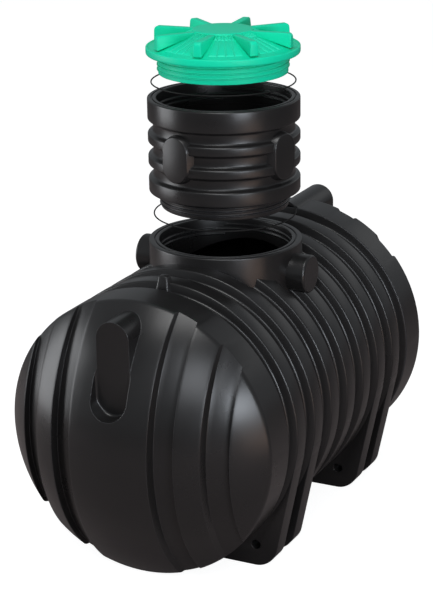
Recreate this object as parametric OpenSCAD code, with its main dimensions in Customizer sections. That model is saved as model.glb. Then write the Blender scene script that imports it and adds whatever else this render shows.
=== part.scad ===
// Septic tank with a screw-in neck extension and a screw-on lid.
// Millimetres. X is across the tank, Y runs along it with the inlet end at -Y, Z is up.
// The tank's feet stand on z = 0. The extension, the lid and both seals hang above their
// seats by the lift values below, and each joint lowers its piece onto its seat.

/* [Tank] */
// Outer diameter over the ribs of the barrel
tank_diameter = 1320; // [1000:10:1800]
// Length of the ribbed barrel between the two ends
barrel_length = 1456; // [1200:2:2400]
// Wall thickness of the moulded tank
tank_wall = 12; // [6:1:20]
// Number of ribs around the barrel
rib_count = 7; // [5:1:11]
// Width of a rib along the barrel
rib_width = 92; // [60:1:120]
// Depth of the grooves between the ribs
rib_depth = 45; // [20:1:70]
// How far each side of a rib leans
rib_draft = 10; // [2:1:20]
// Gap between the ribs and the ground
ground_gap = 5; // [0:1:40]

/* [Tank ends] */
// Length of an end from the barrel to the crown of its dome
end_length = 497; // [440:1:560]
// Radius of curvature of the dome
dome_radius = 850; // [780:5:1100]
// Radius of the corner between the dome and its straight skirt
knuckle = 40; // [20:1:80]
// Distance from the middle of the end to the first upright channel on each side
channel_start = 195; // [120:1:240]
// Width of a channel
channel_width = 111; // [80:1:120]
// Width of the rib between the two channels of a side
channel_gap = 105; // [60:1:120]
// Depth of a channel at mid height
channel_depth = 45; // [20:1:60]
// How far each side of a channel leans
channel_draft = 10; // [2:1:20]
// How far the middle of the channel floors' curve lies behind the dome's, so that they run out at the skirt
channel_ease = 77; // [40:1:100]

/* [Pipe seats] */
// Width of the flat seat where a pipe enters an end
seat_width = 164; // [110:1:220]
// Height of the flat seat
seat_height = 430; // [300:1:500]
// Width of the flat margin around the seat where the end is cut back to it
seat_margin = 8; // [2:1:20]
// Distance of the seat's flat face behind the crown of its end
seat_depth = 104; // [60:1:160]
// Distance of the middle of the inlet seat below the top of the barrel
inlet_drop = 250; // [230:1:360]
// Distance of the middle of the outlet seat below the top of the barrel
outlet_drop = 195; // [180:1:360]

/* [Feet] */
// Distance of the outer end of a foot's flat sole inside the side of the barrel
foot_inset = 214; // [100:1:300]
// Radius of a foot's lower outer corner
foot_corner = 110; // [40:1:160]
// Lean of a foot's outer edge in degrees
foot_lean = 12; // [0:0.5:20]
// Distance from the middle of the tank to a foot's inner end
foot_inner = 120; // [60:1:300]
// Diameter of the strap hole through a foot
foot_hole = 46; // [20:1:80]
// Height of the strap hole above the ground
foot_hole_height = 105; // [60:1:200]

/* [Neck] */
// Outer diameter of the tank's neck
neck_diameter = 734; // [640:2:900]
// Bore of the neck and of the extension
bore_diameter = 636; // [560:2:800]
// Height of the neck's rim above the top of the barrel ribs
neck_height = 42; // [10:1:200]
// Length of each stiffening stub beyond the neck's wall
stub_length = 83; // [60:1:120]
// Diameter of each stub
stub_diameter = 184; // [140:2:220]
// Distance of the stub's top below the neck's rim
stub_drop = 40; // [5:1:100]
// Radius of the round edge of a stub's flat end
stub_edge = 12; // [4:1:30]

/* [Extension] */
// Outer diameter of the extension
riser_diameter = 720; // [640:2:900]
// Height of the extension above its shoulder
riser_height = 447; // [300:1:900]
// Height of the extension's top collar
collar_height = 101; // [60:1:160]
// Height of the extension's bottom collar
base_collar_height = 67; // [40:1:120]
// Depth of the waists between the collars and the ribs
waist_depth = 25; // [10:1:35]
// How far each side of the extension's ribs and collars leans
waist_lean = 8; // [2:1:14]
// Height of each rib around the extension
riser_rib = 42; // [20:1:80]
// Wall thickness of the extension
extension_wall = 14; // [8:1:20]
// Length of the threaded spigot below the shoulder
spigot_length = 78; // [40:1:100]
// Radial clearance between a spigot and its bore
thread_clearance = 14; // [8:1:20]
// Width of each flat pad on the extension
pad_width = 145; // [60:1:180]
// Height of each flat pad on the extension
pad_height = 215; // [120:1:260]
// How far the pads stand out beyond the ribs
pad_stand = 4; // [1:1:20]
// Turn of the extension about its axis in degrees
riser_turn = -13; // [-45:1:45]

/* [Lid] */
// Outer diameter of the lid's flange
lid_diameter = 722; // [640:2:900]
// Thickness of the lid's flange
lid_flange = 34; // [30:1:60]
// Radius of the flange's round edge
lid_lip = 16; // [6:1:17]
// Depth of the threaded skirt under the flange
skirt_depth = 90; // [40:1:120]
// Wall thickness of the lid
lid_wall = 8; // [4:1:14]
// Diameter of the smooth disc in the middle of the lid
disc_diameter = 260; // [160:2:400]
// Height of the disc above the underside of the flange
disc_height = 105; // [90:1:160]
// Step from the cone up to the disc
disc_step = 10; // [2:1:24]
// Number of fins on the lid
fin_count = 8; // [4:1:12]
// Thickness of each fin
fin_width = 34; // [12:1:60]
// Distance from the lid's axis to the outer end of a fin
fin_reach = 322; // [250:1:330]
// Radius of the upper outer corner of each fin
fin_corner = 18; // [4:1:24]
// Turn of the lid's fins about its axis in degrees
lid_turn = 6; // [-22:1:22]

/* [Seals] */
// Mean diameter of the two seal rings
seal_diameter = 677; // [600:1:800]
// Thickness of a seal ring
seal_cord = 7; // [4:0.5:14]
// Clearance around a seated seal
seal_gap = 0.3; // [0.2:0.1:1]

/* [Lifts] */
// Height of the extension above its seat on the neck
riser_lift = 244; // [0:1:600]
// Height of the lid above its seat on the extension
lid_lift = 204; // [0:1:600]
// Height of the lower seal above its seat on the neck
lower_seal_lift = 131; // [0:1:600]
// Height of the upper seal above its seat on the extension
upper_seal_lift = 76; // [0:1:600]

/* [Hidden] */
$fn = 240;

tank_r = tank_diameter / 2;
axis_z = tank_r + ground_gap;
groove_r = tank_r - rib_depth;
barrel_half = barrel_length / 2;
rib_pitch = (barrel_length + rib_width) / (rib_count + 1);
dome_y = barrel_half + end_length - dome_radius;
crown_flat = 0.3;
knuckle_y = dome_y + sqrt(pow(dome_radius - knuckle, 2) - pow(tank_r - knuckle, 2));
floor_radius = dome_radius + channel_ease - channel_depth;
channel_starts = [channel_start, channel_start + channel_width + channel_gap];
seat_y = barrel_half + end_length - seat_depth;
foot_reach = tank_r - foot_inset;
bore_r = bore_diameter / 2;
spigot_r = bore_r - thread_clearance;
neck_r = neck_diameter / 2;
neck_z = axis_z + tank_r + neck_height;
riser_r = riser_diameter / 2;
waist_r = riser_r - waist_depth;
waist_height = (riser_height - collar_height - base_collar_height - 2 * riser_rib) / 3;
rib_z = [for (k = [0, 1]) base_collar_height + waist_height + k * (waist_height + riser_rib)];
lid_r = lid_diameter / 2;
disc_r = disc_diameter / 2;
seal_r = seal_diameter / 2;
seat_z = neck_z + riser_lift;
riser_top = seat_z + riser_height;
lid_z = riser_top + lid_lift;

BLACK = [0.17, 0.17, 0.18];
RUBBER = [0.05, 0.05, 0.05];
GREEN = [0.1, 0.85, 0.62];

// Place of rib k, counted from the inlet end
function rib_y(k) = -barrel_half - rib_width / 2 + (k + 1) * rib_pitch;

// Turns a solid built about Z to lie along Y at the height of the tank's axis
module along_tank() {
    translate([0, 0, axis_z]) rotate([90, 0, 0]) children();
}

// Radius-and-length outline of the ribbed barrel, moved in by the wall
module barrel_outline(inset) {
    polygon(concat(
        [[0, -barrel_half - (inset > 0 ? 1 : 0)], [tank_r - inset, -barrel_half - (inset > 0 ? 1 : 0)]],
        [for (k = [0:rib_count]) each groove_points(k, inset)],
        [[tank_r - inset, barrel_half + (inset > 0 ? 1 : 0)], [0, barrel_half + (inset > 0 ? 1 : 0)]]
    ));
}

// Four corners of the groove in front of rib k
function groove_points(k, inset) =
    let (start = rib_y(k - 1) + rib_width / 2, end = rib_y(k) - rib_width / 2)
    [
        [tank_r - inset, start - inset / 2], [groove_r - inset, start + rib_draft - inset / 2],
        [groove_r - inset, end - rib_draft + inset / 2], [tank_r - inset, end + inset / 2]
    ];

// Barrel with no hollow in it
module barrel_solid() {
    along_tank() rotate_extrude() barrel_outline(0);
}

module barrel() {
    color(BLACK) difference() {
        barrel_solid();
        along_tank() rotate_extrude() barrel_outline(tank_wall);
        translate([0, 0, axis_z]) cylinder(r = neck_r, h = tank_diameter);
    }
}

// Outside of an end, or its inside when moved in by the wall
module end_form(inset) {
    difference() {
        along_tank() rotate_extrude() dome_outline(inset);
        translate([0, channel_ease - dome_y, axis_z]) rotate([0, 90, 0]) rotate_extrude()
            for (side = [0, 1], start = channel_starts)
                mirror([0, side]) channel_outline(start, inset);
    }
}

// Half outline of an end about the tank's axis: straight skirt, round corner and dome
module dome_outline(inset) {
    run_on = inset > 0 ? 1 : 0;
    tangent = (tank_r - knuckle) * (dome_radius - inset) / (dome_radius - knuckle);
    translate([0, barrel_half - run_on]) square([tank_r - inset, knuckle_y - barrel_half + run_on]);
    translate([tank_r - knuckle, knuckle_y]) intersection() {
        circle(r = knuckle - inset);
        square(knuckle);
    }
    intersection() {
        translate([0, dome_y]) circle(r = dome_radius - inset);
        translate([0, barrel_half]) square([tangent, end_length - inset - crown_flat]);
    }
}

// Section of an upright channel, turned about an axis across the tank
module channel_outline(start, inset) {
    inner = start + channel_draft - inset;
    outer = start + channel_width - channel_draft + inset;
    polygon([
        [channel_floor(inner) - inset + 2 * channel_depth, inner - 2 * channel_draft],
        [channel_floor(inner) - inset, inner], [channel_floor(outer) - inset, outer],
        [channel_floor(outer) - inset + 2 * channel_depth, outer + 2 * channel_draft]
    ]);
}

// Radius of a channel's floor at a distance across the tank
function channel_floor(across) = sqrt(pow(floor_radius, 2) - pow(across, 2));

// Upright outline with round ends
module stadium(width, height) {
    for (side = [-1, 1]) translate([0, side * (height - width) / 2]) circle(d = width);
    square([width, height - width], center = true);
}

// Block behind a flat pipe seat, longer than the seat needs until the space in front cuts it back
module seat_form(drop, inset) {
    translate([0, -barrel_half, axis_z + tank_r - drop]) rotate([90, 0, 0])
        linear_extrude(tank_diameter) stadium(seat_width - 2 * inset, seat_height - 2 * inset);
}

// Space in front of a seat that the end is cut back to
module seat_space(drop, inset) {
    margin = 2 * (seat_margin + inset);
    translate([0, -seat_y + inset, axis_z + tank_r - drop]) rotate([90, 0, 0])
        linear_extrude(tank_diameter) stadium(seat_width + margin, seat_height + margin);
}

module tank_end(drop) {
    color(BLACK) difference() {
        union() {
            end_form(0);
            seat_form(drop, 0);
        }
        seat_space(drop, 0);
        difference() {
            union() {
                end_form(tank_wall);
                seat_form(drop, tank_wall);
            }
            seat_space(drop, tank_wall);
        }
    }
}

module front_end() {
    tank_end(inlet_drop);
}

module rear_end() {
    mirror([0, 1, 0]) tank_end(outlet_drop);
}

module neck() {
    color(BLACK) difference() {
        translate([0, 0, axis_z]) cylinder(r = neck_r, h = neck_z - axis_z);
        translate([0, 0, axis_z - 1]) cylinder(r = bore_r, h = neck_z);
        along_tank() cylinder(r = groove_r - tank_wall, h = 2 * neck_diameter, center = true);
        translate([0, 0, neck_z]) seal_groove();
    }
}

// Square groove that a seal lies in, below z = 0
module seal_groove() {
    width = seal_cord + 2 * seal_gap;
    rotate_extrude() translate([seal_r - width / 2, -width]) square([width, 2 * width]);
}

// Round stub that stiffens the neck on one side
module stub(side) {
    color(BLACK) difference() {
        translate([0, 0, neck_z - stub_drop - stub_diameter / 2]) rotate([0, side * 90, 0])
            rotate_extrude() stub_outline(neck_r + stub_length, stub_diameter / 2);
        translate([0, 0, axis_z]) cylinder(r = neck_r, h = tank_diameter);
        barrel_solid();
    }
}

// Half outline of a stub about its own axis
module stub_outline(reach, radius) {
    square([radius, reach - stub_edge]);
    square([radius - stub_edge, reach]);
    translate([radius - stub_edge, reach - stub_edge]) circle(r = stub_edge);
}

module left_stub() {
    stub(-1);
}

module right_stub() {
    stub(1);
}

// Foot plate under rib k on one side of the tank
module foot(k, side) {
    color(BLACK) mirror([side < 0 ? 1 : 0, 0, 0])
        translate([0, rib_y(k) + rib_width / 2, 0]) rotate([90, 0, 0])
            linear_extrude(rib_width) difference() {
                foot_outline();
                translate([0, axis_z]) circle(r = tank_r);
                translate([foot_reach, foot_hole_height]) circle(r = foot_hole / 2);
            }
}

// Flat sole, round corner and leaning outer edge of a foot
module foot_outline() {
    tangent = [foot_reach + foot_corner * cos(foot_lean), foot_corner * (1 - sin(foot_lean))];
    top_x = tangent[0] + (axis_z - tangent[1]) * tan(foot_lean);
    polygon([
        [foot_inner, 0], [foot_reach, 0], [foot_reach, foot_corner], tangent,
        [top_x, axis_z], [foot_inner, axis_z]
    ]);
    translate([foot_reach, foot_corner]) circle(r = foot_corner);
}

module front_right_foot_1() { foot(0, 1); }
module front_right_foot_2() { foot(1, 1); }
module front_left_foot_1() { foot(0, -1); }
module front_left_foot_2() { foot(1, -1); }
module rear_right_foot_1() { foot(rib_count - 2, 1); }
module rear_right_foot_2() { foot(rib_count - 1, 1); }
module rear_left_foot_1() { foot(rib_count - 2, -1); }
module rear_left_foot_2() { foot(rib_count - 1, -1); }

// Round rubber ring that lies in its groove when its seat is at height z
module seal(z) {
    color(RUBBER) translate([0, 0, z - seal_cord / 2 - seal_gap])
        rotate_extrude() translate([seal_r, 0]) circle(d = seal_cord, $fn = 24);
}

module lower_seal() {
    seal(neck_z + lower_seal_lift);
}

module upper_seal() {
    seal(riser_top + upper_seal_lift);
}

// Four corners of the extension's rib whose lower edge is at height z
function riser_rib_points(z, inset) = [
    [waist_r - inset, z - waist_lean + inset / 2], [riser_r - inset, z + inset / 2],
    [riser_r - inset, z + riser_rib - inset / 2], [waist_r - inset, z + riser_rib + waist_lean - inset / 2]
];

// Outline of the extension's outside above its shoulder
module riser_outline() {
    top_waist = riser_height - collar_height;
    polygon(concat(
        [[0, 0], [riser_r, 0], [riser_r, base_collar_height], [waist_r, base_collar_height + waist_lean]],
        riser_rib_points(rib_z[0], 0), riser_rib_points(rib_z[1], 0),
        [[waist_r, top_waist - waist_lean], [riser_r, top_waist], [riser_r, riser_height], [0, riser_height]]
    ));
}

// Outline of the hollow between the extension's collars
module riser_hollow_outline() {
    inner = waist_r - extension_wall;
    polygon(concat(
        [[0, base_collar_height], [inner, base_collar_height + waist_lean]],
        riser_rib_points(rib_z[0], extension_wall), riser_rib_points(rib_z[1], extension_wall),
        [[inner, riser_height - collar_height - waist_lean], [0, riser_height - collar_height]]
    ));
}

module riser_wall() {
    color(BLACK) translate([0, 0, seat_z]) difference() {
        rotate_extrude() difference() {
            riser_outline();
            riser_hollow_outline();
            translate([0, -1]) square([bore_r, riser_height + 2]);
        }
        translate([0, 0, riser_height]) seal_groove();
    }
}

module riser_spigot() {
    color(BLACK) translate([0, 0, seat_z - spigot_length]) difference() {
        union() {
            cylinder(r = spigot_r, h = spigot_length);
            translate([0, 0, spigot_length]) cylinder(r = bore_r, h = extension_wall);
        }
        translate([0, 0, -1]) cylinder(r = spigot_r - extension_wall, h = spigot_length + extension_wall + 2);
    }
}

// Flat pad with round ends on the side of the extension
module riser_pad(k) {
    color(BLACK) translate([0, 0, seat_z]) difference() {
        rotate([0, 0, riser_turn + 90 * (k - 1)])
            translate([0, 0, (rib_z[0] + rib_z[1] + riser_rib) / 2]) rotate([90, 0, 90])
                linear_extrude(riser_r + pad_stand) stadium(pad_width, pad_height);
        rotate_extrude() riser_outline();
    }
}

module riser_pad_1() { riser_pad(1); }
module riser_pad_2() { riser_pad(2); }
module riser_pad_3() { riser_pad(3); }
module riser_pad_4() { riser_pad(4); }

// Outline of the lid's cone from its axis out, down to depth below its upper face
module cone_outline(depth) {
    polygon([
        [0, 0], [lid_r - lid_lip, 0], [lid_r - lid_lip, lid_flange - depth],
        [disc_r, disc_height - disc_step - depth], [0, disc_height - disc_step - depth]
    ]);
}

// Conical top of the lid with its round flange
module lid_cap() {
    color(GREEN) translate([0, 0, lid_z]) rotate_extrude() difference() {
        union() {
            cone_outline(0);
            translate([lid_r - lid_lip, lid_lip]) circle(r = lid_lip);
        }
        square([disc_r, disc_height]);
        polygon([
            [0, -1], [spigot_r - lid_wall, -1], [spigot_r - lid_wall, lid_wall],
            [disc_r, disc_height - disc_step - lid_wall], [0, disc_height - disc_step - lid_wall]
        ]);
    }
}

module lid_disc() {
    color(GREEN) translate([0, 0, lid_z + disc_height - disc_step - lid_wall])
        cylinder(r = disc_r, h = disc_step + lid_wall);
}

module lid_skirt() {
    color(GREEN) translate([0, 0, lid_z - skirt_depth]) difference() {
        cylinder(r = spigot_r, h = skirt_depth);
        translate([0, 0, -1]) cylinder(r = spigot_r - lid_wall, h = skirt_depth + 2);
    }
}

// Fin standing on the cone of the lid
module lid_fin(k) {
    color(GREEN) translate([0, 0, lid_z]) difference() {
        rotate([90, 0, lid_turn + (k - 1) * 360 / fin_count]) translate([0, 0, -fin_width / 2])
            linear_extrude(fin_width) {
                translate([disc_r / 2, 0]) square([fin_reach - fin_corner - disc_r / 2, disc_height]);
                translate([disc_r / 2, 0]) square([fin_reach - disc_r / 2, disc_height - fin_corner]);
                translate([fin_reach - fin_corner, disc_height - fin_corner]) circle(r = fin_corner);
            }
        rotate_extrude() cone_outline(0);
        cylinder(r = disc_r, h = 2 * disc_height);
    }
}

module lid_fin_1() { lid_fin(1); }
module lid_fin_2() { lid_fin(2); }
module lid_fin_3() { lid_fin(3); }
module lid_fin_4() { lid_fin(4); }
module lid_fin_5() { lid_fin(5); }
module lid_fin_6() { lid_fin(6); }
module lid_fin_7() { lid_fin(7); }
module lid_fin_8() { lid_fin(8); }

barrel();
front_end();
rear_end();
neck();
left_stub();
right_stub();
front_right_foot_1();
front_right_foot_2();
front_left_foot_1();
front_left_foot_2();
rear_right_foot_1();
rear_right_foot_2();
rear_left_foot_1();
rear_left_foot_2();
lower_seal();
riser_wall();
riser_spigot();
riser_pad_1();
riser_pad_2();
riser_pad_3();
riser_pad_4();
upper_seal();
lid_cap();
lid_disc();
lid_skirt();
lid_fin_1();
lid_fin_2();
lid_fin_3();
lid_fin_4();
lid_fin_5();
lid_fin_6();
lid_fin_7();
lid_fin_8();
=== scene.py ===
"""Septic tank with a neck extension, two seals and a lid: looks, light and camera."""
import math

import bmesh
import bpy
from mathutils import Matrix, Vector


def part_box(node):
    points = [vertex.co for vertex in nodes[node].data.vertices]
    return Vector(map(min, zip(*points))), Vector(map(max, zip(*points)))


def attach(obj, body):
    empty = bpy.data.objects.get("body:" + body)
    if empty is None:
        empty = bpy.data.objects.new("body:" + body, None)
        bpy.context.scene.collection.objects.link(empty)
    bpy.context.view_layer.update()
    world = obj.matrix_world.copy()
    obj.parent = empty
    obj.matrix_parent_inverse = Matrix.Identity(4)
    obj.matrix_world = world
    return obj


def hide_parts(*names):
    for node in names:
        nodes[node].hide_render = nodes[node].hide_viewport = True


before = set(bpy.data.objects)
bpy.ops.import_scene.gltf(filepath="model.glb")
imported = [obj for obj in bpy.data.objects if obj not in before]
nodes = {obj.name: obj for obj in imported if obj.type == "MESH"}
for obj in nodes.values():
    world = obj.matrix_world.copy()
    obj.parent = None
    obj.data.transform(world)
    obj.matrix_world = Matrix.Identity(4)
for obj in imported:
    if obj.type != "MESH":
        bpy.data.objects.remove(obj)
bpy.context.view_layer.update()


# ---------------------------------------------------------------- camera

VIEW_TURN, VIEW_TILT, VIEW_ROLL = 26.675, 18.725, -0.874
VIEW_LENS, VIEW_DISTANCE = 116.65, 9.38165
VIEW_CENTRE, VIEW_RIGHT, VIEW_UP = Vector((0, 0, 1.2)), -0.0481, -0.14562


def make_camera():
    """Camera in front of the inlet end, turned to the tank's right and looking down a little."""
    turn, tilt, roll = (math.radians(angle) for angle in (VIEW_TURN, VIEW_TILT, VIEW_ROLL))
    ahead = Vector((-math.sin(turn) * math.cos(tilt), math.cos(turn) * math.cos(tilt), -math.sin(tilt)))
    right = Vector((math.cos(turn), math.sin(turn), 0))
    up = right.cross(ahead)
    target = VIEW_CENTRE + right * VIEW_RIGHT + up * VIEW_UP
    data = bpy.data.cameras.new("view")
    data.lens = VIEW_LENS
    data.clip_end = 200
    camera = bpy.data.objects.new("view", data)
    bpy.context.scene.collection.objects.link(camera)
    side = right * math.cos(roll) + up * math.sin(roll)
    top = up * math.cos(roll) - right * math.sin(roll)
    axes = Matrix((side, top, -ahead)).transposed().to_4x4()
    camera.matrix_world = Matrix.Translation(target - ahead * VIEW_DISTANCE) @ axes
    bpy.context.scene.camera = camera


# ---------------------------------------------------------------- light

def area_light(name, place, aim, size, power, colour):
    """Soft square lamp at a place, turned towards aim."""
    data = bpy.data.lights.new(name, "AREA")
    data.shape = "RECTANGLE"
    data.size, data.size_y = size
    data.energy = power
    data.color = colour
    lamp = bpy.data.objects.new(name, data)
    bpy.context.scene.collection.objects.link(lamp)
    lamp.location = place
    lamp.rotation_euler = (Vector(aim) - Vector(place)).to_track_quat("-Z", "Y").to_euler()


# name, place, point it faces, width and height, power, colour
LAMPS = (
    ("key", (5.1, -3.9, 2.3), (0.2, -0.8, 1.0), (2.6, 1.6), 165, (0.86, 0.92, 1.0)),
    ("side", (2.6, -5.3, 4.3), (0.2, -0.8, 1.1), (2.4, 2.4), 90, (0.9, 0.94, 1.0)),
    ("top", (0.5, -2.5, 7.5), (0, 0, 1), (3, 3), 170, (1, 1, 1)),
    ("fill", (-6, -2.5, 2.0), (0, 0, 0.8), (3.4, 4), 190, (0.95, 0.97, 1.0)),
    ("back", (2.5, 6, 3.5), (0, 0, 1.2), (4, 2), 8, (1, 1, 1)),
    ("warm", (4.4, -2.0, 0.35), (0, -0.6, 0.5), (2.4, 1.0), 15, (1.0, 0.66, 0.48)),
)
SKY_COLOUR, SKY_STRENGTH = (0.9, 0.95, 1, 1), 0.3


def make_light():
    """Even studio light: six soft lamps round the tank, and a sky that the camera sees as white."""
    for lamp in LAMPS:
        area_light(*lamp)
    world = bpy.data.worlds.new("studio")
    bpy.context.scene.world = world
    world.use_nodes = True
    tree = world.node_tree
    tree.nodes.clear()
    out = tree.nodes.new("ShaderNodeOutputWorld")
    path = tree.nodes.new("ShaderNodeLightPath")
    sky = tree.nodes.new("ShaderNodeBackground")
    sky.inputs["Color"].default_value = SKY_COLOUR
    sky.inputs["Strength"].default_value = SKY_STRENGTH
    plain = tree.nodes.new("ShaderNodeBackground")
    plain.inputs["Color"].default_value = (1, 1, 1, 1)
    mix = tree.nodes.new("ShaderNodeMixShader")
    tree.links.new(path.outputs["Is Camera Ray"], mix.inputs[0])
    tree.links.new(sky.outputs[0], mix.inputs[1])
    tree.links.new(plain.outputs[0], mix.inputs[2])
    tree.links.new(mix.outputs[0], out.inputs[0])


FLOOR_SIZE, FLOOR_GLOW = 60, 0.9
FLOOR_SEEN, FLOOR_REFLECTED = (0.35, 0.345, 0.34, 1), (0.33, 0.28, 0.27, 1)


def make_floor():
    """Plain floor that takes the tank's shadow, near white where the camera sees it."""
    mesh = bpy.data.meshes.new("floor")
    form = bmesh.new()
    bmesh.ops.create_grid(form, x_segments=1, y_segments=1, size=FLOOR_SIZE)
    form.to_mesh(mesh)
    form.free()
    floor = bpy.data.objects.new("floor", mesh)
    bpy.context.scene.collection.objects.link(floor)
    material = bpy.data.materials.new("pale_floor")
    material.use_nodes = True
    tree = material.node_tree
    shader = tree.nodes["Principled BSDF"]
    shader.inputs["Roughness"].default_value = 0.9
    shader.inputs["Specular IOR Level"].default_value = 0.05
    shader.inputs["Emission Color"].default_value = (1, 1, 1, 1)
    path = tree.nodes.new("ShaderNodeLightPath")
    glow = tree.nodes.new("ShaderNodeMath")
    glow.operation = "MULTIPLY"
    glow.inputs[1].default_value = FLOOR_GLOW
    tree.links.new(path.outputs["Is Camera Ray"], glow.inputs[0])
    tree.links.new(glow.outputs[0], shader.inputs["Emission Strength"])
    colour = tree.nodes.new("ShaderNodeMix")
    colour.data_type = "RGBA"
    colour.inputs["A"].default_value = FLOOR_REFLECTED
    colour.inputs["B"].default_value = FLOOR_SEEN
    tree.links.new(path.outputs["Is Camera Ray"], colour.inputs["Factor"])
    tree.links.new(colour.outputs["Result"], shader.inputs["Base Color"])
    mesh.materials.append(material)


# ---------------------------------------------------------------- materials

def grain_group():
    """Fine moulded grain: a mask of faint blotches, a roughness and a bumped normal."""
    group = bpy.data.node_groups.new("moulded_grain", "ShaderNodeTree")
    face = group.interface
    for name, start in (("Blotch Scale", 3.0), ("Grain Scale", 420.0), ("Grain Depth", 0.1),
                        ("Roughness Low", 0.3), ("Roughness High", 0.4)):
        face.new_socket(name, in_out="INPUT", socket_type="NodeSocketFloat").default_value = start
    face.new_socket("Normal", in_out="INPUT", socket_type="NodeSocketVector")
    face.new_socket("Blotches", in_out="OUTPUT", socket_type="NodeSocketFloat")
    face.new_socket("Roughness", in_out="OUTPUT", socket_type="NodeSocketFloat")
    face.new_socket("Normal", in_out="OUTPUT", socket_type="NodeSocketVector")
    new, link = group.nodes.new, group.links.new
    given, out = new("NodeGroupInput"), new("NodeGroupOutput")
    place_in = new("ShaderNodeTexCoord").outputs["Object"]
    blotch = new("ShaderNodeTexNoise")
    blotch.inputs["Detail"].default_value = 4
    link(place_in, blotch.inputs["Vector"])
    link(given.outputs["Blotch Scale"], blotch.inputs["Scale"])
    rough = new("ShaderNodeMapRange")
    rough.inputs["From Min"].default_value = 0.3
    rough.inputs["From Max"].default_value = 0.7
    link(blotch.outputs["Fac"], rough.inputs["Value"])
    link(given.outputs["Roughness Low"], rough.inputs["To Min"])
    link(given.outputs["Roughness High"], rough.inputs["To Max"])
    grain = new("ShaderNodeTexNoise")
    grain.inputs["Detail"].default_value = 3
    link(place_in, grain.inputs["Vector"])
    link(given.outputs["Grain Scale"], grain.inputs["Scale"])
    bump = new("ShaderNodeBump")
    bump.inputs["Distance"].default_value = 0.0004
    link(given.outputs["Grain Depth"], bump.inputs["Strength"])
    link(grain.outputs["Fac"], bump.inputs["Height"])
    link(given.outputs["Normal"], bump.inputs["Normal"])
    link(blotch.outputs["Fac"], out.inputs["Blotches"])
    link(rough.outputs["Result"], out.inputs["Roughness"])
    link(bump.outputs["Normal"], out.inputs["Normal"])
    return group


def edge_group():
    """Mask of the rubbed edges, lightened both for wear and as a painted edge highlight, from how far a rounded
    normal leaves the surface's own.
    """
    group = bpy.data.node_groups.new("edge_wear_highlight", "ShaderNodeTree")
    face = group.interface
    face.new_socket("Width", in_out="INPUT", socket_type="NodeSocketFloat").default_value = 0.004
    face.new_socket("Wear Highlight", in_out="OUTPUT", socket_type="NodeSocketFloat")
    face.new_socket("Normal", in_out="OUTPUT", socket_type="NodeSocketVector")
    new, link = group.nodes.new, group.links.new
    given, out = new("NodeGroupInput"), new("NodeGroupOutput")
    soft = new("ShaderNodeBevel")
    soft.samples = 6
    link(given.outputs["Width"], soft.inputs["Radius"])
    own = new("ShaderNodeNewGeometry")
    dot = new("ShaderNodeVectorMath")
    dot.operation = "DOT_PRODUCT"
    link(soft.outputs["Normal"], dot.inputs[0])
    link(own.outputs["Normal"], dot.inputs[1])
    # Strongest on rounded edges: rubbed wear and a painted edge highlight.
    wear_highlight_mask = new("ShaderNodeMapRange")
    wear_highlight_mask.inputs["From Min"].default_value = 0.98
    wear_highlight_mask.inputs["From Max"].default_value = 0.82
    link(dot.outputs["Value"], wear_highlight_mask.inputs["Value"])
    link(wear_highlight_mask.outputs["Result"], out.inputs["Wear Highlight"])
    link(soft.outputs["Normal"], out.inputs["Normal"])
    return group


def moulded(name, dark, light, wear_and_highlight, roughness, scale, depth, gloss):
    """Satin moulded plastic with blotches of two near colours, edges lightened both for rubbed wear and as a
    painted highlight, and a fine grain.
    """
    material = bpy.data.materials.new(name)
    material.use_nodes = True
    tree = material.node_tree
    new, link = tree.nodes.new, tree.links.new
    shader = tree.nodes["Principled BSDF"]
    shader.inputs["Specular IOR Level"].default_value = gloss
    grain, edge = new("ShaderNodeGroup"), new("ShaderNodeGroup")
    grain.node_tree, edge.node_tree = grains, edges
    low, high = roughness
    grain.inputs["Roughness Low"].default_value = low
    grain.inputs["Roughness High"].default_value = high
    grain.inputs["Grain Scale"].default_value = scale
    grain.inputs["Grain Depth"].default_value = depth
    link(edge.outputs["Normal"], grain.inputs["Normal"])
    tone = new("ShaderNodeMix")
    tone.data_type = "RGBA"
    tone.inputs["A"].default_value = (*dark, 1)
    tone.inputs["B"].default_value = (*light, 1)
    link(grain.outputs["Blotches"], tone.inputs["Factor"])
    # Edges mixed towards a lighter colour: rubbed wear and a painted edge highlight.
    wear_highlight_mix = new("ShaderNodeMix")
    wear_highlight_mix.data_type = "RGBA"
    wear_highlight_mix.inputs["B"].default_value = (*wear_and_highlight, 1)
    link(edge.outputs["Wear Highlight"], wear_highlight_mix.inputs["Factor"])
    link(tone.outputs["Result"], wear_highlight_mix.inputs["A"])
    link(wear_highlight_mix.outputs["Result"], shader.inputs["Base Color"])
    link(grain.outputs["Roughness"], shader.inputs["Roughness"])
    link(grain.outputs["Normal"], shader.inputs["Normal"])
    return material


# ---------------------------------------------------------------- forms

def rounded(form, geom, width, segments, affect="EDGES"):
    """Rounds the given edges or corners of a form."""
    bmesh.ops.bevel(form, geom=geom, offset=width, offset_type="OFFSET", segments=segments, profile=0.5,
                    affect=affect, material=-1, clamp_overlap=affect == "EDGES")


def extruded(form, move):
    """Thickens the flat faces of a form by a move."""
    raised = bmesh.ops.extrude_face_region(form, geom=form.faces[:])["geom"]
    corners = [item for item in raised if isinstance(item, bmesh.types.BMVert)]
    bmesh.ops.translate(form, vec=move, verts=corners)
    bmesh.ops.recalc_face_normals(form, faces=form.faces[:])


def mirrored(form, scale):
    """Mirrors a form by a scale of 1 and -1, with its faces still outwards."""
    bmesh.ops.scale(form, vec=scale, verts=form.verts[:])
    bmesh.ops.reverse_faces(form, faces=form.faces[:])


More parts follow.
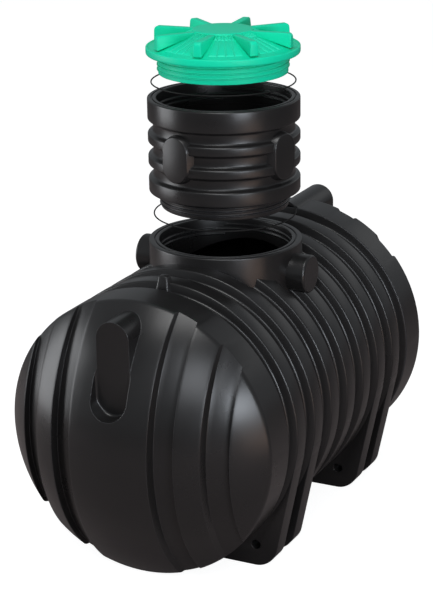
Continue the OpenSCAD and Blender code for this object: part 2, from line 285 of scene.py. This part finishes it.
def oval(width, height):
    """Flat upright face with round ends."""
    form, segments = bmesh.new(), 48
    bmesh.ops.create_circle(form, cap_ends=True, segments=segments, radius=width / 2)
    bmesh.ops.rotate(form, verts=form.verts[:], cent=(0, 0, 0),
                     matrix=Matrix.Rotation(math.pi / segments, 3, "Z"))
    for vert in form.verts:
        vert.co.y += math.copysign((height - width) / 2, vert.co.y)
    return form


def stood_up(place):
    """Move that stands a flat form upright, facing along the tank, at a place."""
    return Matrix.Translation(place) @ Matrix.Rotation(math.radians(90), 4, "X")


def corner_ring(form, outline, segments=4):
    """Closed outline of (across, up, rounding) corners in the XZ plane, with its corners rounded."""
    corners = [form.verts.new((radius, 0, height)) for radius, height, _ in outline]
    for start, end in zip(corners, corners[1:] + corners[:1]):
        form.edges.new((start, end))
    for rounding in sorted({corner[2] for corner in outline if corner[2]}):
        chosen = [vert for vert, corner in zip(corners, outline) if corner[2] == rounding]
        rounded(form, chosen, rounding, segments, affect="VERTICES")


def turned(outline, steps=192):
    """Solid turned about the upright axis from a closed outline of rounded corners."""
    form = bmesh.new()
    corner_ring(form, outline)
    bmesh.ops.spin(form, geom=form.verts[:] + form.edges[:], cent=(0, 0, 0), axis=(0, 0, 1),
                   angle=math.tau, steps=steps, use_merge=True)
    bmesh.ops.remove_doubles(form, verts=form.verts[:], dist=1e-6)
    bmesh.ops.delete(form, geom=[edge for edge in form.edges if edge.is_wire], context="EDGES")
    bmesh.ops.recalc_face_normals(form, faces=form.faces[:])
    return form


THREAD_ROOT, THREAD_SLOPE, THREAD_START, THREAD_STEPS = 0.003, 0.35, math.radians(117), 96


def thread(wall, crest, low, pitch, turns, thickness):
    """Screw ridge on a wall of a radius, out to its crest, with its lowest turn at a height."""
    form = bmesh.new()
    root = wall - math.copysign(THREAD_ROOT, crest - wall)
    slope = thickness * THREAD_SLOPE
    outline = [(root, low), (wall, low), (crest, low + slope), (crest, low + thickness - slope),
               (wall, low + thickness), (root, low + thickness)]
    form.faces.new([form.verts.new((radius, 0, height)) for radius, height in outline])
    bmesh.ops.rotate(form, verts=form.verts[:], cent=(0, 0, 0),
                     matrix=Matrix.Rotation(THREAD_START, 3, "Z"))
    bmesh.ops.spin(form, geom=form.verts[:] + form.edges[:] + form.faces[:], cent=(0, 0, 0), axis=(0, 0, 1),
                   dvec=(0, 0, pitch / THREAD_STEPS), angle=math.tau * turns, steps=THREAD_STEPS * turns)
    bmesh.ops.recalc_face_normals(form, faces=form.faces[:])
    return form


def meshed(name, form):
    """Mesh of a form that is no longer needed."""
    mesh = bpy.data.meshes.new(name)
    form.to_mesh(mesh)
    form.free()
    return mesh


def joined(forms):
    """One form from several."""
    whole = bmesh.new()
    for form in forms:
        mesh = meshed("part", form)
        whole.from_mesh(mesh)
        bpy.data.meshes.remove(mesh)
    return whole


def combined(first, second, operation):
    """First form united with the second or cut by it."""
    items = []
    for form in (first, second):
        items.append(bpy.data.objects.new("part", meshed("part", form)))
        bpy.context.scene.collection.objects.link(items[-1])
    change = items[0].modifiers.new("change", "BOOLEAN")
    change.operation = operation
    change.object = items[1]
    result = bmesh.new()
    result.from_object(items[0], bpy.context.evaluated_depsgraph_get())
    for item in items:
        mesh = item.data
        bpy.data.objects.remove(item)
        bpy.data.meshes.remove(mesh)
    return result


def place(name, form, finish, slot, body, replaced=(), smooth=32):
    """Piece made of a form, in its finish, moving with a body."""
    mesh = meshed(name, form)
    mesh.shade_smooth()
    mesh.set_sharp_from_angle(angle=math.radians(smooth))
    mesh.materials.append(finish)
    piece = bpy.data.objects.new(name, mesh)
    bpy.context.scene.collection.objects.link(piece)
    if replaced:
        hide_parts(*replaced)
    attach(piece, body)
    return piece


# ---------------------------------------------------------------- tank

# Lengths here and below are in metres and repeat the solids'.
TANK_R, AXIS_Z, HALF, WALL = 0.660, 0.665, 0.728, 0.012
RIB_WIDTH, RIB_DEPTH, RIB_LEAN, PITCH, RIB_GAPS = 0.092, 0.045, 0.010, 0.1935, 8
RIB_EDGE, RIB_FOOT = 0.007, 0.009
NECK_R, NECK_Z, NECK_LOW, BORE_R = 0.367, 1.367, 1.10, 0.318
SEAL_R, SEAL_SLOT, SEAL_DEPTH, SLOT_EDGE, SLOT_FOOT = 0.3385, 0.0038, 0.0076, 0.0015, 0.001
RIM_EDGE, MOUTH_EDGE = 0.006, 0.005
OVERLAP = 0.001


def rib_at(k):
    """Middle of rib k along the barrel."""
    return -HALF - RIB_WIDTH / 2 + (k + 1) * PITCH


def lie_along(form):
    """Lays a form turned about Z along the tank's axis."""
    turn = Matrix.Translation((0, 0, AXIS_Z)) @ Matrix.Rotation(math.radians(90), 4, "X")
    bmesh.ops.transform(form, matrix=turn, verts=form.verts[:])
    return form


def drum(radius, half):
    """Plain round bar about the upright axis, used to cut other forms."""
    form = bmesh.new()
    bmesh.ops.create_cone(form, cap_ends=True, segments=192, radius1=radius, radius2=radius, depth=2 * half)
    return form


def make_barrel():
    """Ribbed shell with the hole under the neck."""
    outer, inner = [(TANK_R, -HALF, 0)], [(TANK_R - WALL, -HALF, 0)]
    floor = TANK_R - RIB_DEPTH
    for k in range(RIB_GAPS):
        start, end = rib_at(k - 1) + RIB_WIDTH / 2, rib_at(k) - RIB_WIDTH / 2
        outer += [(TANK_R, start, RIB_EDGE), (floor, start + RIB_LEAN, RIB_FOOT),
                  (floor, end - RIB_LEAN, RIB_FOOT), (TANK_R, end, RIB_EDGE)]
        inner += [(TANK_R - WALL, start - WALL / 2, 0), (floor - WALL, start + RIB_LEAN - WALL / 2, 0),
                  (floor - WALL, end - RIB_LEAN + WALL / 2, 0), (TANK_R - WALL, end + WALL / 2, 0)]
    outer.append((TANK_R, HALF, 0))
    inner.append((TANK_R - WALL, HALF, 0))
    shell = lie_along(turned(outer + inner[::-1]))
    reach = 0.4
    hole = drum(NECK_R - OVERLAP, reach)
    bmesh.ops.translate(hole, verts=hole.verts[:], vec=(0, 0, AXIS_Z + reach))
    place("tank_barrel", combined(shell, hole, "DIFFERENCE"), tank_skin, "tank_plastic", "tank", ["barrel"])


DOME_R, DOME_Y, KNUCKLE = 0.850, 0.375, 0.040
FLOOR_R, FLOOR_Y = 0.882, 0.298
CHANNELS = ((0.195, 0.306), (0.411, 0.522))
CHANNEL_LEAN, CHANNEL_DEPTH, CHANNEL_EDGE = 0.010, 0.045, 0.0045
COLUMN_WIDTH, FLOOR_COLUMNS, RIM_COLUMNS, END_ROWS = 0.02, 4, 14, 96


def dome_at(radius, inset):
    """Distance along the tank of the dome, with its round corner, at a radius."""
    tangent = (TANK_R - KNUCKLE) * (DOME_R - inset) / (DOME_R - KNUCKLE)
    if radius <= tangent:
        return DOME_Y + math.sqrt((DOME_R - inset) ** 2 - radius ** 2)
    corner_y = DOME_Y + math.sqrt((DOME_R - KNUCKLE) ** 2 - (TANK_R - KNUCKLE) ** 2)
    return corner_y + math.sqrt(max((KNUCKLE - inset) ** 2 - (radius - TANK_R + KNUCKLE) ** 2, 0))


def floor_at(radius, inset):
    """Distance along the tank of the channels' floors at a radius."""
    return FLOOR_Y + math.sqrt((FLOOR_R - inset) ** 2 - radius ** 2)


def end_columns(inset):
    """Places across half an end, each with 1 in a channel's floor and 0 on the dome."""
    rim = TANK_R - inset
    columns, last = [(0.0, 0)], 0.0
    for start, end in CHANNELS:
        start, end = start + CHANNEL_LEAN - inset, end - CHANNEL_LEAN + inset
        count = max(3, round((start - last) / COLUMN_WIDTH))
        columns += [(last + (start - last) * step / count, 0) for step in range(1, count)]
        columns += [(start, 0), (start, 1)]
        columns += [(start + (end - start) * step / FLOOR_COLUMNS, 1) for step in range(1, FLOOR_COLUMNS)]
        columns += [(end, 1), (end, 0)]
        last = end
    first = math.asin(last / rim)
    for step in range(1, RIM_COLUMNS + 1):
        columns.append((rim * math.sin(first + (math.pi / 2 - first) * step / RIM_COLUMNS), 0))
    return columns


def upright_place(x, up, rim):
    """Height from the tank's axis, and distance from it, of a place across and a share up the dome."""
    z = math.sin(up * math.pi / 2) * math.sqrt(max(rim ** 2 - x ** 2, 0))
    return z, min(math.hypot(x, z), rim)


def end_solid(inset):
    """Solid dome with its upright channels, moved in by a wall, on its straight skirt."""
    half = end_columns(inset)
    columns = [(-x, level) for x, level in half[:0:-1]] + half
    rim = TANK_R - inset
    form = bmesh.new()
    bmesh.ops.create_grid(form, x_segments=len(columns) - 1, y_segments=END_ROWS, size=1)
    for vert in form.verts:
        index = round((vert.co.x + 1) / 2 * (len(columns) - 1))
        x, level = columns[index]
        neighbours = [columns[k][1] for k in (index - 1, index + 1) if 0 <= k < len(columns)]
        z, radius = upright_place(x, vert.co.y, rim)
        drop = dome_at(radius, inset) - floor_at(radius, inset)
        if level == 0 and 1 in neighbours and drop > 0:
            lean = CHANNEL_LEAN * drop / CHANNEL_DEPTH
            outward = 1 if columns[index - 1][1] == 1 else -1
            x += outward * lean
            z, radius = upright_place(x, vert.co.y, rim)
        y = dome_at(radius, inset)
        if level:
            y = min(y, floor_at(radius, inset))
        vert.co = (x, -y, AXIS_Z + z)
    bmesh.ops.remove_doubles(form, verts=form.verts[:], dist=2e-6)
    border = [edge for edge in form.edges if edge.is_boundary]
    skirt = bmesh.ops.extrude_edge_only(form, edges=border)["geom"]
    for vert in skirt:
        if isinstance(vert, bmesh.types.BMVert):
            vert.co.y = -HALF + (OVERLAP if inset else 0)
    bmesh.ops.recalc_face_normals(form, faces=form.faces[:])
    if not inset:
        sharp = [edge for edge in form.edges
                 if len(edge.link_faces) == 2 and edge.calc_face_angle() > math.radians(28)]
        rounded(form, sharp, CHANNEL_EDGE, 3)
    bmesh.ops.holes_fill(form, edges=[edge for edge in form.edges if edge.is_boundary], sides=0)
    bmesh.ops.recalc_face_normals(form, faces=form.faces[:])
    return form


SEAT_Y, SEAT_WIDTH, SEAT_HEIGHT, SEAT_MARGIN, SEAT_EDGE = 1.121, 0.164, 0.430, 0.008, 0.012
SEAT_SPARE, SPACE_END = 0.2, 1.5
INLET_DROP, OUTLET_DROP = 0.250, 0.195


def seat_prism(grown, drop, near, far, edge=0):
    """Bar with the seat's outline, from one distance in front of the tank's middle to another.

    It is larger all round by an amount, and its near end may have a rounded edge.
    """
    form = oval(SEAT_WIDTH + 2 * grown, SEAT_HEIGHT + 2 * grown)
    bmesh.ops.transform(form, matrix=stood_up((0, -near, AXIS_Z + TANK_R - drop)), verts=form.verts[:])
    extruded(form, (0, near - far, 0))
    if edge:
        rim = [item for item in form.edges if all(abs(vert.co.y + near) < 1e-6 for vert in item.verts)]
        rounded(form, rim, edge, 5)
    return form


def seated(form, drop, inset):
    """End with its pipe seat built out and cut back to its flat."""
    front = SEAT_Y - inset
    block = seat_prism(-inset, drop, HALF - (OVERLAP if inset else 0), front + SEAT_SPARE)
    space = seat_prism(SEAT_MARGIN + inset, drop, front, SPACE_END, 0 if inset else SEAT_EDGE)
    return combined(combined(form, block, "UNION"), space, "DIFFERENCE")


def make_end(name, node, drop, side):
    """End shell; side 1 is the inlet end and -1 the outlet end."""
    shell = combined(seated(end_solid(0), drop, 0), seated(end_solid(WALL), drop, WALL), "DIFFERENCE")
    bmesh.ops.remove_doubles(shell, verts=shell.verts[:], dist=1e-6)
    bmesh.ops.dissolve_degenerate(shell, dist=1e-6, edges=shell.edges[:])
    bmesh.ops.holes_fill(shell, edges=[edge for edge in shell.edges if edge.is_boundary], sides=0)
    bmesh.ops.recalc_face_normals(shell, faces=shell.faces[:])
    if side < 0:
        mirrored(shell, (1, -1, 1))
    place(name, shell, tank_skin, "tank_plastic", "tank", [node], smooth=30)


def threaded_rim(outer, top):
    """Outline over a rim from its outside to its bore, with a seal's groove in it."""
    groove = top - SEAL_DEPTH
    return [(outer, top, RIM_EDGE),
            (SEAL_R + SEAL_SLOT, top, SLOT_EDGE), (SEAL_R + SEAL_SLOT, groove, SLOT_FOOT),
            (SEAL_R - SEAL_SLOT, groove, SLOT_FOOT), (SEAL_R - SEAL_SLOT, top, SLOT_EDGE),
            (BORE_R, top, MOUTH_EDGE)]


def make_neck():
    """Neck with a seal groove in its rim and a screw thread in its bore."""
    wall = turned([(BORE_R, NECK_LOW, 0), (NECK_R, NECK_LOW, 0)] + threaded_rim(NECK_R, NECK_Z))
    inside = lie_along(drum(TANK_R - RIB_DEPTH - WALL, NECK_R + 0.1))
    body = combined(wall, inside, "DIFFERENCE")
    screw = thread(BORE_R, crest=BORE_R - 0.0035, low=NECK_Z - 0.086, pitch=0.024, turns=2, thickness=0.012)
    place("tank_neck", joined([body, screw]), tank_skin, "tank_plastic", "tank", ["neck"])


FOOT_INNER, FOOT_OUTER, FOOT_TOP, FOOT_LEAN = 0.120, 0.5329, 0.560, math.tan(math.radians(12))
FOOT_CORNER, FOOT_EDGE, FOOT_SINK = 0.0891, 0.006, 0.008
HOLE_X, HOLE_Z, HOLE_R = 0.446, 0.105, 0.023


def foot_form(middle, side):
    """Foot plate that grows out of a rib, with a flat sole, a round corner and a strap hole."""
    form = bmesh.new()
    corner_ring(form, [(FOOT_INNER, 0, 0), (FOOT_OUTER, 0, FOOT_CORNER),
                       (FOOT_OUTER + FOOT_TOP * FOOT_LEAN, FOOT_TOP, 0), (FOOT_INNER, FOOT_TOP, 0)],
                segments=12)
    bmesh.ops.holes_fill(form, edges=form.edges[:], sides=0)
    bmesh.ops.translate(form, vec=(0, middle - RIB_WIDTH / 2, 0), verts=form.verts[:])
    extruded(form, (0, RIB_WIDTH, 0))
    form = combined(form, lie_along(drum(TANK_R - FOOT_SINK, 2)), "DIFFERENCE")
    hole = drum(HOLE_R, 2)
    bmesh.ops.transform(hole, matrix=stood_up((HOLE_X, 0, HOLE_Z)), verts=hole.verts[:])
    form = combined(form, hole, "DIFFERENCE")
    sharp = [edge for edge in form.edges if edge.calc_face_angle(0) > math.radians(30)
             and max(math.hypot(vert.co.x, vert.co.z - AXIS_Z) for vert in edge.verts) > TANK_R - FOOT_EDGE]
    rounded(form, sharp, FOOT_EDGE, 4)
    if side < 0:
        mirrored(form, (-1, 1, 1))
    return form


def make_feet():
    """Eight foot plates, a pair under each end of the barrel on each side."""
    for end_name, ribs in (("front", (0, 1)), ("rear", (5, 6))):
        for side_name, side in (("right", 1), ("left", -1)):
            for number, rib in enumerate(ribs, 1):
                node = "%s_%s_foot_%d" % (end_name, side_name, number)
                form = foot_form(rib_at(rib), side)
                place(node + "_plate", form, tank_skin, "tank_plastic", "tank", [node])


LUG_Y, LUG_EDGE, SHOULDER_Z = -0.628, 0.009, 1.3
LUG_TOP, LUG_FOOT = (0.046, 0.040, 0.694), (0.070, 0.072, 0.606)


def make_lug():
    """Small upright lifting lug on the front of the first rib."""
    form = bmesh.new()
    bmesh.ops.create_cube(form, size=1)
    for vert in form.verts:
        width, depth, height = LUG_TOP if vert.co.z > 0 else LUG_FOOT
        vert.co = (vert.co.x * width, LUG_Y + vert.co.y * depth, AXIS_Z + height)
    rounded(form, [edge for edge in form.edges if max(vert.co.z for vert in edge.verts) > SHOULDER_Z],
            LUG_EDGE, 3)
    place("lifting_lug", form, tank_skin, "tank_plastic", "tank")


# ---------------------------------------------------------------- extension

RISER_Z, RISER_R, RISER_H, WAIST_R = 1.611, 0.360, 0.447, 0.335
RISER_WALL, SPIGOT_R, SPIGOT_CREST, SPIGOT = 0.014, 0.304, 0.3105, 0.078
COLLAR, BASE_COLLAR, RISER_RIB, WAIST_LEAN = 0.101, 0.067, 0.042, 0.008
RISER_EDGE, RISER_FOOT, BASE_EDGE = 0.006, 0.008, 0.005


def make_riser():
    """Extension wall with two collars, two ribs and hollow ribs inside."""
    waist = (RISER_H - COLLAR - BASE_COLLAR - 2 * RISER_RIB) / 3
    ribs = [BASE_COLLAR + waist + k * (waist + RISER_RIB) for k in (0, 1)]
    top = RISER_H - COLLAR
    outer = [(RISER_R, 0, BASE_EDGE), (RISER_R, BASE_COLLAR, RISER_EDGE),
             (WAIST_R, BASE_COLLAR + WAIST_LEAN, RISER_FOOT)]
    inner = [(BORE_R, 0, 0), (BORE_R, BASE_COLLAR + WAIST_LEAN - OVERLAP, 0),
             (WAIST_R - RISER_WALL, BASE_COLLAR + WAIST_LEAN, 0)]
    for rib in ribs:
        outer += [(WAIST_R, rib - WAIST_LEAN, RISER_FOOT), (RISER_R, rib, RISER_EDGE),
                  (RISER_R, rib + RISER_RIB, RISER_EDGE), (WAIST_R, rib + RISER_RIB + WAIST_LEAN, RISER_FOOT)]
        low, high, half = rib - WAIST_LEAN, rib + RISER_RIB + WAIST_LEAN, RISER_WALL / 2
        inner += [(WAIST_R - RISER_WALL, low + half, RISER_EDGE), (RISER_R - RISER_WALL, rib + half, RISER_EDGE),
                  (RISER_R - RISER_WALL, rib + RISER_RIB - half, RISER_EDGE),
                  (WAIST_R - RISER_WALL, high - half, RISER_EDGE)]
    outer += [(WAIST_R, top - WAIST_LEAN, RISER_FOOT), (RISER_R, top, RISER_EDGE)]
    inner += [(WAIST_R - RISER_WALL, top - WAIST_LEAN, 0), (BORE_R, top - WAIST_LEAN + OVERLAP, 0)]
    wall = turned(outer + threaded_rim(RISER_R, RISER_H) + inner[::-1])
    screw = thread(BORE_R, crest=BORE_R - 0.005, low=RISER_H - 0.092, pitch=0.024, turns=2, thickness=0.012)
    form = joined([wall, screw])
    bmesh.ops.translate(form, vec=(0, 0, RISER_Z), verts=form.verts[:])
    place("extension_wall", form, tank_skin, "riser_plastic", "riser", ["riser_wall"])

    spigot = turned([
        (SPIGOT_R - RISER_WALL, -SPIGOT, 0.003), (SPIGOT_R, -SPIGOT, 0.006), (SPIGOT_R, 0, 0),
        (BORE_R, 0, 0), (BORE_R, RISER_WALL, 0), (SPIGOT_R - RISER_WALL, RISER_WALL, 0.003)])
    screw = thread(SPIGOT_R, SPIGOT_CREST, low=-SPIGOT + 0.008, pitch=0.019, turns=3, thickness=0.009)
    form = joined([spigot, screw])
    bmesh.ops.translate(form, vec=(0, 0, RISER_Z), verts=form.verts[:])
    place("extension_spigot", form, tank_skin, "riser_plastic", "riser", ["riser_spigot"])
    for k in range(4):
        node = "riser_pad_%d" % (k + 1)
        form = pad_form(math.radians(RISER_TURN + 90 * k))
        place("extension_pad_%d" % (k + 1), form, tank_skin, "riser_plastic", "riser", [node])


PAD_WIDTH, PAD_HEIGHT, PAD_FACE, PAD_Z, RISER_TURN = 0.145, 0.215, 0.364, 0.2065, -13
PAD_DEPTH, PAD_SPREAD, PAD_RISE, PAD_EDGE = 0.041, 0.030, 0.024, 0.004


def pad_form(angle):
    """Flat pad with round ends, whose sides spread towards the extension's wall."""
    form = oval(PAD_WIDTH, PAD_HEIGHT)
    wide = bmesh.ops.extrude_face_region(form, geom=form.faces[:])["geom"]
    for vert in (item for item in wide if isinstance(item, bmesh.types.BMVert)):
        vert.co.x *= 1 + PAD_SPREAD / PAD_WIDTH
        vert.co.y *= 1 + PAD_RISE / PAD_HEIGHT
        vert.co.z = -PAD_DEPTH
    rim = [edge for edge in form.edges if all(vert.co.z > -PAD_DEPTH / 2 for vert in edge.verts)]
    rounded(form, rim, PAD_EDGE, 3)
    bmesh.ops.recalc_face_normals(form, faces=form.faces[:])
    outwards = Matrix.Rotation(angle, 4, "Z") @ Matrix.Translation((PAD_FACE, 0, RISER_Z + PAD_Z))
    stand = outwards @ Matrix.Rotation(math.radians(90), 4, "Z") @ Matrix.Rotation(math.radians(90), 4, "X")
    bmesh.ops.transform(form, matrix=stand, verts=form.verts[:])
    return form


# ---------------------------------------------------------------- lid

LID_Z, LID_R, LID_LIP, LID_FLANGE, LID_WALL = 2.262, 0.361, 0.016, 0.034, 0.008
DISC_R, DISC_H, DISC_STEP, SKIRT = 0.142, 0.112, 0.012, 0.090
FLANGE_EDGE, LIP_EDGE, LIP_FOOT, LIP_RISE, LIP_TOP, LIP_WIDTH = 0.010, 0.005, 0.002, 0.002, 0.009, 0.012
FIN_COUNT, LID_TURN = 8, 6
# Rings of low ribs between two fins: count, inner and outer radius, share of the sector each, height.
LOW_RIBS = ((4, 0.186, 0.312, 0.165, 0.0035), (6, 0.140, 0.176, 0.12, 0.006))
LOW_GAP, LOW_EDGE, LOW_LEAN, LOW_SINK = 0.006, 0.0015, 0.003, 0.004


def cone_height(radius):
    """Height of the lid's cone above the flange's underside."""
    outer, edge = LID_R - LID_LIP, DISC_H - DISC_STEP
    return LID_FLANGE + (outer - radius) / (outer - DISC_R) * (edge - LID_FLANGE)


def low_rib(inner, outer, spread, height, angle):
    """Low flat bar on the cone along a radius, that spreads outwards and leaves a gap to its neighbours."""
    form = bmesh.new()
    bmesh.ops.create_cube(form, size=1)
    for vert in form.verts:
        radius = outer if vert.co.x > 0 else inner
        top = vert.co.z > 0
        across = math.copysign((radius * spread - LOW_GAP) / 2 - (LOW_EDGE if top else 0), vert.co.y)
        vert.co = (radius - (math.copysign(LOW_LEAN, vert.co.x) if top else 0), across,
                   LID_Z + cone_height(radius) + (height if top else -LOW_SINK))
    crest = [edge for edge in form.edges if edge.calc_length() > 0.002
             and min(vert.co.z - cone_height(math.hypot(*vert.co.xy)) for vert in edge.verts) > LID_Z]
    rounded(form, crest, LOW_EDGE, 2)
    bmesh.ops.rotate(form, verts=form.verts[:], cent=(0, 0, 0), matrix=Matrix.Rotation(angle, 3, "Z"))
    return form


def make_lid():
    """Cone with its flange and low ribs, the smooth disc in its middle, and the threaded skirt."""
    edge = DISC_H - DISC_STEP
    cone = turned([
        (SPIGOT_R - LID_WALL, 0, 0), (LID_R, 0, FLANGE_EDGE), (LID_R, LID_FLANGE + LIP_RISE, LIP_EDGE),
        (LID_R - LIP_TOP, LID_FLANGE + LIP_RISE, LIP_FOOT),
        (LID_R - LIP_WIDTH, LID_FLANGE - LIP_RISE, LIP_FOOT),
        (LID_R - LID_LIP - 0.004, LID_FLANGE - 0.001, 0), (DISC_R, edge, 0), (DISC_R, edge - LID_WALL, 0),
        (SPIGOT_R - LID_WALL, LID_WALL, 0)])
    bmesh.ops.translate(cone, vec=(0, 0, LID_Z), verts=cone.verts[:])
    forms = [cone]
    sector = math.tau / FIN_COUNT
    for k in range(FIN_COUNT):
        middle = math.radians(LID_TURN) + sector * (k + 0.5)
        for count, inner, outer, share, height in LOW_RIBS:
            for step in range(count):
                angle = middle + sector * (step - (count - 1) / 2) * share
                forms.append(low_rib(inner, outer, sector * share, height, angle))
    place("lid_cone", joined(forms), lid_skin, "lid_plastic", "lid", ["lid_cap"])

    disc = turned([
        (0, edge - LID_WALL, 0), (DISC_R, edge - LID_WALL, 0),
        (DISC_R, DISC_H, 0.006), (DISC_R * 0.6, DISC_H + 0.003, 0.03), (0, DISC_H + 0.004, 0)])
    bmesh.ops.translate(disc, vec=(0, 0, LID_Z), verts=disc.verts[:])
    place("lid_middle", disc, lid_skin, "lid_plastic", "lid", ["lid_disc"])

    skirt = turned([
        (SPIGOT_R - LID_WALL, -SKIRT, 0.003), (SPIGOT_R, -SKIRT, 0.003), (SPIGOT_R, 0, 0),
        (SPIGOT_R - LID_WALL, 0, 0)])
    screw = thread(SPIGOT_R, SPIGOT_CREST, low=-SKIRT + 0.010, pitch=0.0225, turns=3, thickness=0.009)
    form = joined([skirt, screw])
    bmesh.ops.translate(form, vec=(0, 0, LID_Z), verts=form.verts[:])
    place("lid_threaded_skirt", form, lid_skin, "lid_plastic", "lid", ["lid_skirt"])


FIN_CREST, FIN_EDGE, FIN_INNER = 0.105, 0.006, 0.25
FIN_SPREAD, FIN_DRAFT, FIN_REACH, FIN_RISE = 0.35, 0.38, 0.016, 0.004


def fin_form(node, angle):
    """Fin from its solid, thicker at the foot, narrower and a little higher at the crest, and longer."""
    form = bmesh.new()
    form.from_mesh(nodes[node].data)
    bmesh.ops.remove_doubles(form, verts=form.verts[:], dist=1e-5)
    bmesh.ops.dissolve_limit(form, angle_limit=math.radians(0.8), verts=form.verts[:], edges=form.edges[:])
    along = Vector((math.cos(angle), math.sin(angle), 0))
    across = Vector((-math.sin(angle), math.cos(angle), 0))
    for vert in form.verts:
        up = min(max((vert.co.z - LID_Z - LID_FLANGE) / (FIN_CREST - LID_FLANGE), 0), 1)
        vert.co += across * (vert.co.dot(across) * (FIN_SPREAD - FIN_DRAFT * up))
        if vert.co.dot(along) > FIN_INNER:
            vert.co += along * FIN_REACH
        vert.co.z += FIN_RISE * up
    sharp = [edge for edge in form.edges if edge.is_manifold and edge.calc_face_angle() > math.radians(30)]
    rounded(form, sharp, FIN_EDGE, 3)
    return form


def make_fins():
    """Eight fins on the lid's cone, to turn it by."""
    for k in range(FIN_COUNT):
        node = "lid_fin_%d" % (k + 1)
        form = fin_form(node, math.radians(LID_TURN + 360 / FIN_COUNT * k))
        place("lid_grip_%d" % (k + 1), form, lid_skin, "lid_plastic", "lid", [node])


# ---------------------------------------------------------------- seals

def make_seal(name, node, body):
    """Round rubber ring."""
    low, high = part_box(node)
    middle, cord = (low[2] + high[2]) / 2, (high[2] - low[2]) / 2
    form = bmesh.new()
    bmesh.ops.create_circle(form, cap_ends=False, segments=16, radius=cord)
    bmesh.ops.transform(form, matrix=stood_up((SEAL_R, 0, middle)), verts=form.verts[:])
    bmesh.ops.spin(form, geom=form.verts[:] + form.edges[:], cent=(0, 0, 0), axis=(0, 0, 1),
                   angle=math.tau, steps=192, use_merge=True)
    bmesh.ops.recalc_face_normals(form, faces=form.faces[:])
    place(name, form, rubber, "seal_rubber", body, [node])


make_camera()
make_light()
make_floor()

grains, edges = grain_group(), edge_group()
# Each finish's lighter edge colour is both rubbed wear and a painted edge highlight.
tank_skin = moulded("satin_black", dark=(0.0075, 0.007, 0.007), light=(0.011, 0.0105, 0.0105),
                    wear_and_highlight=(0.04, 0.04, 0.043), roughness=(0.26, 0.33), scale=420, depth=0.1, gloss=0.45)
lid_skin = moulded("sea_green", dark=(0.003, 0.62, 0.35), light=(0.005, 0.70, 0.41),
                   wear_and_highlight=(0.05, 0.84, 0.56), roughness=(0.36, 0.44), scale=420, depth=0.1, gloss=0.18)
rubber = moulded("ring_rubber", dark=(0.004, 0.004, 0.004), light=(0.006, 0.006, 0.006),
                 wear_and_highlight=(0.01, 0.01, 0.01), roughness=(0.55, 0.65), scale=700, depth=0.1, gloss=0.2)

make_barrel()
make_end("inlet_end", "front_end", INLET_DROP, 1)
make_end("outlet_end", "rear_end", OUTLET_DROP, -1)
make_neck()
make_feet()
make_lug()
make_riser()
make_lid()
make_fins()
make_seal("lower_ring", "lower_seal", "lower_seal_ring")
make_seal("upper_ring", "upper_seal", "upper_seal_ring")
for name in ("left_stub", "right_stub"):
    nodes[name].data.materials.clear()
    nodes[name].data.materials.append(tank_skin)

bpy.context.scene.view_settings.view_transform = "Standard"
